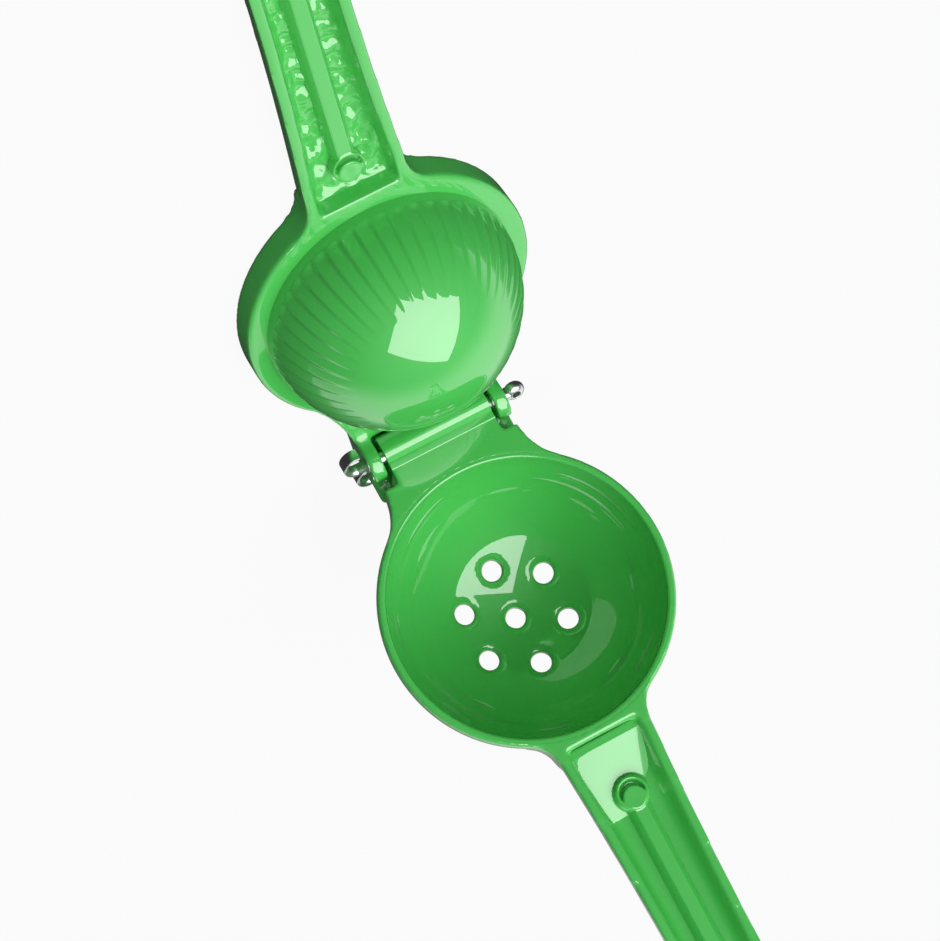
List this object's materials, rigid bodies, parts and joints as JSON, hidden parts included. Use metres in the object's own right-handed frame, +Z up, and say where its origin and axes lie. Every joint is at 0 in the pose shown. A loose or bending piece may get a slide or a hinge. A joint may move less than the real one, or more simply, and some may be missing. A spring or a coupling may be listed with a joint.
{
  "type": "hinged lemon squeezer",
  "caption": "Enamelled cast squeezer: perforated bowl half and fluted dome half on a split-pin hinge, each with a ribbed channel handle.",
  "frame": {"origin": "on the plane of the press half's flat back, under the middle of the opened object's bounding box", "axes": "+X from the hinge to the end of the press handle, +Y along the hinge pin towards its bent legs, +Z up from the flat back towards the dome"},
  "size_m": [0.3144, 0.07, 0.1976],
  "materials": {
    "green_enamel": "glossy enamel over cast aluminium",
    "pin_steel": "bright zinc plated wire"
  },
  "bodies": {
    "press": {"upper_press_half": "green_enamel", "hinge_split_pin": "pin_steel"},
    "bowl": {"lower_bowl_half": "green_enamel"}
  },
  "joints": [
    {"name": "hinge", "type": "hinge", "parent": "press", "child": "bowl", "pos_m": [-0.05299, 0, 0.0113], "axis": [0, 1, 0], "range_deg": [0, 117]}
  ]
}
